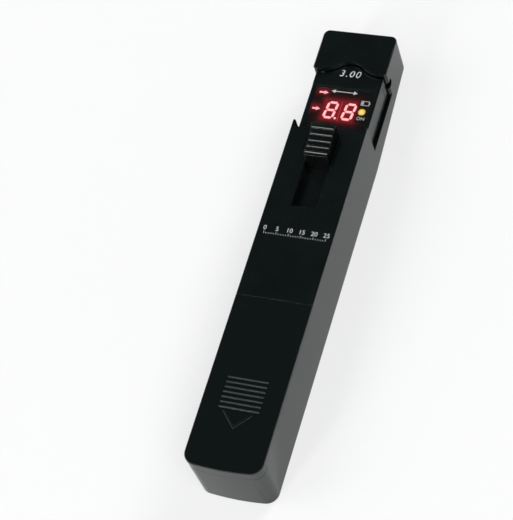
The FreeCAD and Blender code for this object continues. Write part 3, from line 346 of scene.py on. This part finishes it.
def lit_arrows(node):
    """Red arrow lamps that shine from their tops, unevenly as through a diffuser."""
    dark_red = (0.014, 0.0014, 0.0014)
    edge, core = (1.0, 0.38, 0.45), (1.0, 0.54, 0.60)
    strength = 4.2
    shader = Shader("lit_red_lamps")
    uneven = shader.noise(LIGHT_CELLS, detail=2)
    shader.into("Base Color", shader.mottled(uneven, UNLIT_RED, dark_red))
    shader.into("Emission Color", shader.ramp(uneven, [(0.35, edge), (0.65, core)]))
    height = shader.split(shader.place)["Z"]
    shader.into("Emission Strength", shader.on_top(height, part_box(node)[1].z, strength))
    shader.put(Roughness=LAMP_ROUGHNESS)
    return shader


def lit_bars():
    """Lit bars of the digits: pale in the middle of each stroke and red along its edges."""
    dark_red = (0.014, 0.001, 0.001)
    edge, between, core = (1.0, 0.10, 0.12), (1.0, 0.34, 0.36), (1.0, 0.60, 0.61)
    edge_width = 0.34 * MM
    strength = 4.6
    shader = Shader("lit_red_bars")
    shader.into("Base Color", shader.mottled(shader.noise(LIGHT_CELLS, detail=2), UNLIT_RED, dark_red))
    facing = shader.add("ShaderNodeVectorMath", operation="DOT_PRODUCT")
    shader.link(shader.rounded_normal(edge_width, samples=8), facing.inputs[0])
    shader.link(shader.face_normal(), facing.inputs[1])
    inside = shader.span(facing.outputs["Value"], 0.0, 1.0, start=0.80, end=0.995)
    shader.into("Emission Color", shader.ramp(inside, [(0.0, edge), (0.5, between), (1.0, core)]))
    shader.put(Emission_Strength=strength, Roughness=LAMP_ROUGHNESS)
    return shader


def lit_dome(node):
    """Round yellow lamp: pale in the middle and amber round its rim."""
    unlit, unlit_rim = (0.02, 0.016, 0.003), (0.012, 0.008, 0.001)
    pale, yellow = (1.0, 1.0, 0.62), (1.0, 0.95, 0.24)
    amber, rim = (0.95, 0.70, 0.05), (0.42, 0.25, 0.01)
    strength = 3.3
    ragged = 0.12
    low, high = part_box(node)
    shader = Shader("lit_yellow_lamp")
    spot = shader.split(shader.place)
    across = shader.off_middle(spot["X"], low.x, high.x)
    along = shader.off_middle(spot["Y"], low.y, high.y)
    outward = shader.math("DIVIDE", shader.length(across, along), (high.x - low.x) / 2)
    uneven = shader.span(shader.noise(LIGHT_CELLS, detail=2), -ragged, ragged, NOISE_LOW, NOISE_HIGH)
    outward = shader.math("ADD", outward, uneven)
    shader.into("Base Color", shader.ramp(outward, [(0.0, unlit), (1.0, unlit_rim)]))
    glow = [(0.25, pale), (0.6, yellow), (0.8, amber), (1.0, rim)]
    shader.into("Emission Color", shader.ramp(outward, glow))
    shader.into("Emission Strength", shader.on_top(spot["Z"], high.z, strength))
    shader.put(Roughness=LAMP_ROUGHNESS)
    return shader


def digit_case():
    """Dark display module, with a painted red glow along the joint between the two, beside the digits,
    standing for light leaking out there.
    """
    dark, light = (0.010, 0.004, 0.004), (0.016, 0.006, 0.006)
    painted_joint_glow = 1.1
    fade = 0.6 * MM
    shader = moulded_plastic("digit_epoxy", dark, light, smooth=0.35, dull=0.5)
    spot = shader.split(shader.place)
    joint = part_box("digit_module_right")[0].x
    aside = shader.math("ABSOLUTE", spot["X"])
    beside = shader.span(aside, painted_joint_glow, 0.0, start=joint + 0.02 * MM, end=joint + 0.05 * MM)
    low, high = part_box("digit_segments_left")
    half = (high.y - low.y) / 2
    off_digits = shader.off_middle(spot["Y"], low.y, high.y)
    within = shader.span(off_digits, 1.0, 0.0, start=half, end=half + fade)
    # Painted glow: the module case itself shines red along the joint
    shader.into("Emission Strength", shader.math("MULTIPLY", beside, within))
    shader.put(Emission_Color=(1.0, 0.06, 0.09, 1.0))
    return shader


def window_glass():
    """Smoked window, with a painted red glow on its front round the red lamps, standing for their light
    scattered in it.
    """
    smoke, dark_smoke = (0.30, 0.26, 0.26), (0.27, 0.235, 0.235)
    strength = 0.17
    reach = 1.0 * MM
    below_digits = 1.3 * MM
    digits_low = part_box("digit_segments_left")[0] - Vector((0, below_digits, 0))
    digits_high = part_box("digit_segments_right")[1]
    sources = (
        (digits_low, digits_high, 1.0),
        (*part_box("sign_led"), 0.75),
        (*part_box("traffic_led"), 0.6),
    )
    shader = Shader("window_glass")
    dust = shader.noise(DUST_CELLS, detail=5)
    shader.into("Base Color", shader.mottled(dust, smoke, dark_smoke))
    shader.into("Roughness", shader.span(dust, low=0.01, high=0.05, start=0.4, end=0.8))
    spot = shader.split(shader.place)

    def beyond(axis, low, high):
        """How far a point lies outside the span low..high of one axis."""
        past = shader.math("SUBTRACT", shader.off_middle(spot[axis], low, high), (high - low) / 2)
        return shader.math("MAXIMUM", past, 0)

    glow = None
    for low, high, level in sources:
        distance = shader.length(beyond("X", low.x, high.x), beyond("Y", low.y, high.y))
        fading = shader.math("EXPONENT", shader.math("MULTIPLY", distance, -1 / reach))
        light = shader.math("MULTIPLY", fading, level)
        glow = light if glow is None else shader.math("MAXIMUM", glow, light)
    on_front = shader.on_top(spot["Z"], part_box("display_window")[1].z, strength)
    facing_up = shader.span(shader.split(shader.face_normal())["Z"], 0.0, 1.0, start=0.90, end=0.98)
    shown = shader.math("MULTIPLY", on_front, facing_up)
    # Painted glow: the window's front shines red round the lamps
    shader.into("Emission Strength", shader.math("MULTIPLY", glow, shown))
    shader.put(Emission_Color=(1.0, 0.035, 0.06, 1.0), Transmission_Weight=0.985, IOR=1.49)
    return shader


finish(lit_arrows("traffic_led"), "traffic_led", "sign_led")
finish(lit_bars(), "digit_segments_left", "digit_segments_right")
finish(lit_dome("battery_led"), "battery_led")
finish(digit_case(), "digit_module_left", "digit_module_right")
finish(window_glass(), "display_window")


# Pieces made here
def in_scene(name, data):
    made = bpy.data.objects.new(name, data)
    bpy.context.scene.collection.objects.link(made)
    return made


def new_piece(name, mesh, body, shader):
    piece = in_scene(name, mesh)
    finish(shader, piece)
    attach(piece, body)
    return piece


def final_mesh(piece):
    """A piece's mesh with its modifiers or its curve worked out."""
    bpy.context.view_layer.update()
    return bpy.data.meshes.new_from_object(piece.evaluated_get(bpy.context.evaluated_depsgraph_get()))


def join_rings(shape, rings):
    """Faces between each closed ring of points and the next."""
    for first, second in zip(rings, rings[1:]):
        for step in range(len(first)):
            after = (step + 1) % len(first)
            shape.faces.new((first[step], first[after], second[after], second[step]))


def add_solid(shape, rings):
    """A closed skin through rings of points, flat on its first and its last."""
    join_rings(shape, rings)
    shape.faces.new(rings[0])
    shape.faces.new(rings[-1])


def to_mesh(name, shape):
    mesh = bpy.data.meshes.new(name)
    shape.to_mesh(mesh)
    shape.free()
    return mesh


def solid_mesh(name, shape):
    bmesh.ops.recalc_face_normals(shape, faces=shape.faces)
    return to_mesh(name, shape)


def smooth_sides(shape):
    for face in shape.faces:
        face.smooth = len(face.verts) == 4


def turned(count):
    """Angles of evenly spaced points round a circle."""
    return [2 * math.pi * step / count for step in range(count)]


# Spring: round wire wound along Y, as a fixed coil on the housing; the real one shortens as the slide is
# pulled down
SPRING_TURNS = 9
SPRING_WIRE_RADIUS = 0.4 * MM
STEPS_PER_TURN = 40
WIRE_SIDES = 12


def coil_mesh(low, high):
    """Round wire that fills the box low..high as a coil, as one closed mesh."""
    middle = (low + high) / 2
    wire = SPRING_WIRE_RADIUS
    radius = (high.x - low.x) / 2 - wire
    run = high.y - low.y - 2 * wire
    steps = SPRING_TURNS * STEPS_PER_TURN
    shape = bmesh.new()
    rings = []
    for step in range(steps + 1):
        angle = 2 * math.pi * SPRING_TURNS * step / steps
        outward = Vector((math.cos(angle), 0, -math.sin(angle)))
        centre = Vector((0, low.y + wire + run * step / steps, middle.z)) + outward * radius
        ring = []
        for turn in turned(WIRE_SIDES):
            aside = Vector((0, wire * math.sin(turn), 0))
            ring.append(shape.verts.new(centre + outward * wire * math.cos(turn) + aside))
        rings.append(ring)
    add_solid(shape, rings)
    smooth_sides(shape)
    return solid_mesh("coil", shape)


def clamp_spring():
    low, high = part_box("clamp_spring")
    spring = new_piece("spring_coil", coil_mesh(low, high), "housing", zinc)
    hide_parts("clamp_spring")
    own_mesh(spring)


clamp_spring()

# Screws: pan heads with a cross recess, facing the back, and threaded shanks
SCREW_HEAD_HEIGHT = 1.1 * MM
SCREW_CROWN = 0.3 * MM
SCREW_RADIUS = 1.0 * MM
SCREW_ROOT_RADIUS = 0.80 * MM
SCREW_PITCH = 0.8 * MM
SCREW_LEAD = 0.8 * MM
SCREW_SIDES = 24
SCREW_ROWS_PER_TURN = 6
CROWN_SHARES = (0.35, 0.65, 0.85, 0.96, 1.0)
RECESS_ARM = 1.05 * MM
RECESS_HALF_WIDTH = 0.22 * MM
RECESS_DEPTH = 0.62 * MM
RECESS_TAPER = 0.6
CUT_OVER = 0.1 * MM


def screw_body(head_radius, low, tip):
    """One screw on the Z axis with its head down, threaded up to its tip."""
    seat = low + SCREW_HEAD_HEIGHT
    shank = tip - seat
    shape = bmesh.new()
    rings = []

    def add_ring(radii, height):
        ring = []
        for radius, angle in zip(radii, turned(SCREW_SIDES)):
            spot = (radius * math.cos(angle), radius * math.sin(angle), height)
            ring.append(shape.verts.new(spot))
        rings.append(ring)

    for share in CROWN_SHARES:
        add_ring([share * head_radius] * SCREW_SIDES, low + SCREW_CROWN * share ** 4)
    add_ring([head_radius] * SCREW_SIDES, seat)
    add_ring([SCREW_ROOT_RADIUS] * SCREW_SIDES, seat)
    rows = round(shank / SCREW_PITCH * SCREW_ROWS_PER_TURN)
    for row in range(1, rows + 1):
        rise = shank * row / rows
        fade = min(1.0, rise / SCREW_LEAD, (shank - rise) / SCREW_LEAD)
        radii = []
        for side in range(SCREW_SIDES):
            phase = (rise / SCREW_PITCH - side / SCREW_SIDES) % 1.0
            crest = fade * (1 - abs(2 * phase - 1))
            radii.append(SCREW_ROOT_RADIUS + (SCREW_RADIUS - SCREW_ROOT_RADIUS) * crest)
        add_ring(radii, seat + rise)
    add_solid(shape, rings)
    return solid_mesh("screw", shape)


def cross_cutter(low):
    """Tapered cross that cuts the driver's recess into a head."""
    arm, half = RECESS_ARM, RECESS_HALF_WIDTH
    outline = [(half, -arm), (half, -half), (arm, -half), (arm, half), (half, half), (half, arm)]
    outline += [(-x, -y) for x, y in outline]
    shape = bmesh.new()
    mouth = [shape.verts.new((x, y, low - CUT_OVER)) for x, y in outline]
    bottom = [shape.verts.new((x * RECESS_TAPER, y * RECESS_TAPER, low + RECESS_DEPTH)) for x, y in outline]
    add_solid(shape, [mouth, bottom])
    return solid_mesh("cross", shape)


def cut_away(mesh, cutter_mesh):
    """The first mesh with the second one cut out of it."""
    body = in_scene("cut_body", mesh)
    tool = in_scene("cut_tool", cutter_mesh)
    modifier = body.modifiers.new("recess", "BOOLEAN")
    modifier.operation = "DIFFERENCE"
    modifier.object = tool
    made = final_mesh(body)
    for piece in (body, tool):
        bpy.data.objects.remove(piece)
    return made


def screw_pair(node):
    """Two screws, left and right, in place of a node of plain ones."""
    low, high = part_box(node)
    head_radius = (high.y - low.y) / 2
    mesh = cut_away(screw_body(head_radius, low.z, high.z), cross_cutter(low.z))
    shape = bmesh.new()
    for x in (low.x + head_radius, high.x - head_radius):
        before = len(shape.verts)
        shape.from_mesh(mesh)
        shape.verts.ensure_lookup_table()
        bmesh.ops.translate(shape, verts=shape.verts[before:], vec=(x, (low.y + high.y) / 2, 0))
    piece = new_piece(f"{node}_pair", to_mesh(node, shape), "housing", zinc)
    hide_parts(node)


screw_pair("housing_screws")
screw_pair("head_screws")


# Printed marks
def printed_ink(name, worn, full):
    """Slightly uneven printing ink."""
    shader = Shader(name)
    ink = shader.noise(INK_CELLS)
    shader.into("Base Color", shader.ramp(ink, [(0.3, worn), (0.6, full)]))
    shader.into("Roughness", shader.span(ink, low=0.35, high=0.55))
    return shader


white_print = printed_ink("white_print", (0.62, 0.62, 0.62), (0.84, 0.84, 0.84))
grey_print = printed_ink("grey_print", (0.48, 0.48, 0.48), (0.64, 0.64, 0.64))
CAP_SHARE = 0.7
CHARACTER_STEPS = 6
WELD = 0.5 * MICRON


def from_end(along):
    """Y of a place counted from the battery end."""
    return cad_low.y + along


def bar(x_low, x_high, y_low, y_high):
    return [(x_low, y_low), (x_high, y_low), (x_high, y_high), (x_low, y_high)]


def printed_shapes(outlines, face_height):
    """Thin print in the shape of polygons, each a list of (x, y) corners, as one mesh."""
    shape = bmesh.new()
    for outline in outlines:
        base = [shape.verts.new((x, y, face_height)) for x, y in outline]
        top = [shape.verts.new((x, y, face_height + PRINT_DEPTH)) for x, y in outline]
        add_solid(shape, [base, top])
    return solid_mesh("print", shape)


def printed_words(words, place, cap_height, slant=0.0, spacing=1.0):
    """Thin printed characters, centred on a place on the face that carries them."""
    curve = bpy.data.curves.new("words", "FONT")
    curve.body = words
    curve.align_x = "CENTER"
    curve.align_y = "CENTER"
    curve.size = cap_height / CAP_SHARE
    curve.shear = slant
    curve.space_character = spacing
    curve.resolution_u = CHARACTER_STEPS
    curve.extrude = PRINT_DEPTH / 2
    writing = in_scene("words", curve)
    mesh = final_mesh(writing)
    bpy.data.objects.remove(writing)
    shape = bmesh.new()
    shape.from_mesh(mesh)
    bmesh.ops.remove_doubles(shape, verts=shape.verts, dist=WELD)
    bmesh.ops.translate(shape, verts=shape.verts, vec=Vector(place) + Vector((0, 0, PRINT_DEPTH / 2)))
    return to_mesh("words", shape)


def print_on_slide(name, mesh, shader):
    new_piece(name, mesh, "slide", shader)


def print_on_cover(name, mesh):
    new_piece(name, mesh, "housing", grey_print)


def adapter_number():
    place = (0.0, from_end(177.45 * MM), SLIDE_FACE)
    mesh = printed_words("3.00", place, cap_height=3.0 * MM, slant=0.16, spacing=1.22)
    print_on_slide("adapter_number", mesh, white_print)


def on_mark():
    place = (9.7 * MM, from_end(157.25 * MM), SLIDE_FACE)
    print_on_slide("on_mark", printed_words("ON", place, cap_height=1.5 * MM), grey_print)


def direction_mark():
    """Two-way arrow beside the upper lamp."""
    left, right = -5.4 * MM, 5.6 * MM
    middle = from_end(168.75 * MM)
    half_line = 0.16 * MM
    head = 1.7 * MM
    wing = 0.85 * MM
    shapes = [
        bar(left + head, right - head, middle - half_line, middle + half_line),
        [(left, middle), (left + head, middle - wing), (left + head, middle + wing)],
        [(right, middle), (right - head, middle - wing), (right - head, middle + wing)],
    ]
    print_on_slide("direction_mark", printed_shapes(shapes, SLIDE_FACE), grey_print)


def battery_mark():
    """Outline of a cell with its terminal."""
    left, right = 8.1 * MM, 11.5 * MM
    low, high = from_end(163.55 * MM), from_end(165.65 * MM)
    middle = (low + high) / 2
    line = 0.22 * MM
    nub = 0.35 * MM
    shapes = [
        bar(left, right, low, low + line),
        bar(left, right, high - line, high),
        bar(left, left + line, low + line, high - line),
        bar(right - line, right, low + line, high - line),
        bar(right, right + nub, middle - nub, middle + nub),
        bar(left + 2 * line, left + 5 * line, low + 2 * line, high - 2 * line),
    ]
    print_on_slide("battery_mark", printed_shapes(shapes, SLIDE_FACE), grey_print)


def graduated_scale():
    """A short millimetre scale across the cover, numbered at every fifth tick."""
    left = -12.5 * MM
    pitch = 1.0 * MM
    count = 26
    numbered = 5
    half_line = 0.08 * MM
    short_tick, long_tick = 0.6 * MM, 1.1 * MM
    digit_height = 1.9 * MM
    base, digits = from_end(98.25 * MM), from_end(100.75 * MM)
    shapes = []
    for tick in range(count):
        middle = left + pitch * tick
        height = long_tick if tick % numbered == 0 else short_tick
        shapes.append(bar(middle - half_line, middle + half_line, base, base + height))
        if tick % numbered == 0:
            place = (middle, digits, COVER_FACE)
            print_on_cover(f"scale_{tick}", printed_words(str(tick), place, digit_height))
    print_on_cover("scale_ticks", printed_shapes(shapes, COVER_FACE))


adapter_number()
on_mark()
direction_mark()
battery_mark()
graduated_scale()

# Studio: pale floor, a dim even sky and four soft lamps, each with its place, width, height, power
# and whether it shows in glossy faces and glass
FLOOR_RADIUS = 3.0
FLOOR_BEND = 0.5
FLOOR_BEND_STEPS = 8
FLOOR_WALL = 1.1
FLOOR_SIDES = 64
FLOOR_WHITE_SHARE = 0.6
SKY = (0.076, 0.088, 0.088, 1.0)
LAMPS = (
    ("right_lamp", (1.3, -1.3, 1.9), 1.6, 1.6, 26, True),
    ("left_lamp", (-1.6, -0.5, 1.75), 1.6, 1.6, 19, True),
    ("front_lamp", (-0.72, -2.0, 1.0), 0.36, 1.6, 19, True),
    ("back_lamp", (0.9, 2.17, 1.35), 1.2, 1.0, 40, False),
)


def whiten(shader, share):
    """Gives a share of plain white to what the camera sees, also through glass, and keeps the shadow."""
    rays = shader.add("ShaderNodeLightPath").outputs
    seen = shader.math("MAXIMUM", rays["Is Camera Ray"], rays["Is Transmission Ray"])
    white = shader.add("ShaderNodeEmission")
    mixed = shader.add("ShaderNodeMixShader")
    shader.link(shader.math("MULTIPLY", seen, share), mixed.inputs["Fac"])
    shader.link(shader.surface.outputs["BSDF"], mixed.inputs[1])
    shader.link(white.outputs["Emission"], mixed.inputs[2])
    shader.link(mixed.outputs["Shader"], shader.tree.nodes["Material Output"].inputs["Surface"])


def floor_sheet():
    """Pale floor that rises into a low round wall far from the object."""
    flat_radius = FLOOR_RADIUS - FLOOR_BEND
    profile = [(flat_radius, 0.0)]
    for step in range(1, FLOOR_BEND_STEPS + 1):
        angle = math.pi / 2 * step / FLOOR_BEND_STEPS
        distance = flat_radius + FLOOR_BEND * math.sin(angle)
        profile.append((distance, FLOOR_BEND - FLOOR_BEND * math.cos(angle)))
    profile.append((FLOOR_RADIUS, FLOOR_WALL))
    shape = bmesh.new()
    rings = []
    for distance, height in profile:
        ring = []
        for angle in turned(FLOOR_SIDES):
            ring.append(shape.verts.new((distance * math.cos(angle), distance * math.sin(angle), height)))
        rings.append(ring)
    shape.faces.new(rings[0])
    join_rings(shape, rings[::-1])
    smooth_sides(shape)
    floor = in_scene("floor", to_mesh("floor", shape))
    pale = Shader("pale_floor")
    cloud = pale.noise(CLOUD_CELLS)
    pale.into("Base Color", pale.mottled(cloud, (0.93, 0.93, 0.93), (0.95, 0.95, 0.95)))
    pale.put(Roughness=0.9, Specular_IOR_Level=0.1)
    whiten(pale, FLOOR_WHITE_SHARE)
    finish(pale, floor)


def aimed(name, data, place, aim):
    """Puts a lamp or camera at a place, turned towards another."""
    holder = in_scene(name, data)
    holder.location = place
    holder.rotation_mode = "QUATERNION"
    holder.rotation_quaternion = (Vector(aim) - Vector(place)).to_track_quat("-Z", "Y")
    return holder


def soft_lamp(name, place, width, height, power, mirrored):
    """Wide lamp aimed at the object, which shows in glossy faces and glass if mirrored."""
    lamp = bpy.data.lights.new(name, "AREA")
    lamp.shape = "RECTANGLE"
    lamp.size = width
    lamp.size_y = height
    lamp.energy = power
    holder = aimed(name, lamp, place, (0, 0, 0))
    holder.visible_glossy = mirrored
    holder.visible_transmission = mirrored


def studio():
    floor_sheet()
    for lamp in LAMPS:
        soft_lamp(*lamp)
    world = bpy.data.worlds.new("studio")
    world.use_nodes = True
    world.node_tree.nodes["Background"].inputs["Color"].default_value = SKY
    bpy.context.scene.world = world
    bpy.context.scene.view_settings.view_transform = "Standard"


def camera():
    """The photograph's viewpoint, fitted to the object's edges."""
    place = (0.23440, -0.33112, 0.65234)
    aim = (-0.01699, -0.00498, 0.0135)
    roll = math.radians(-24.47)
    lens = bpy.data.cameras.new("camera")
    lens.sensor_width = 36.0
    lens.lens = 135.5
    holder = aimed("camera", lens, place, aim)
    holder.rotation_quaternion = holder.rotation_quaternion @ Quaternion((0, 0, 1), roll)
    bpy.context.scene.camera = holder


studio()
camera()
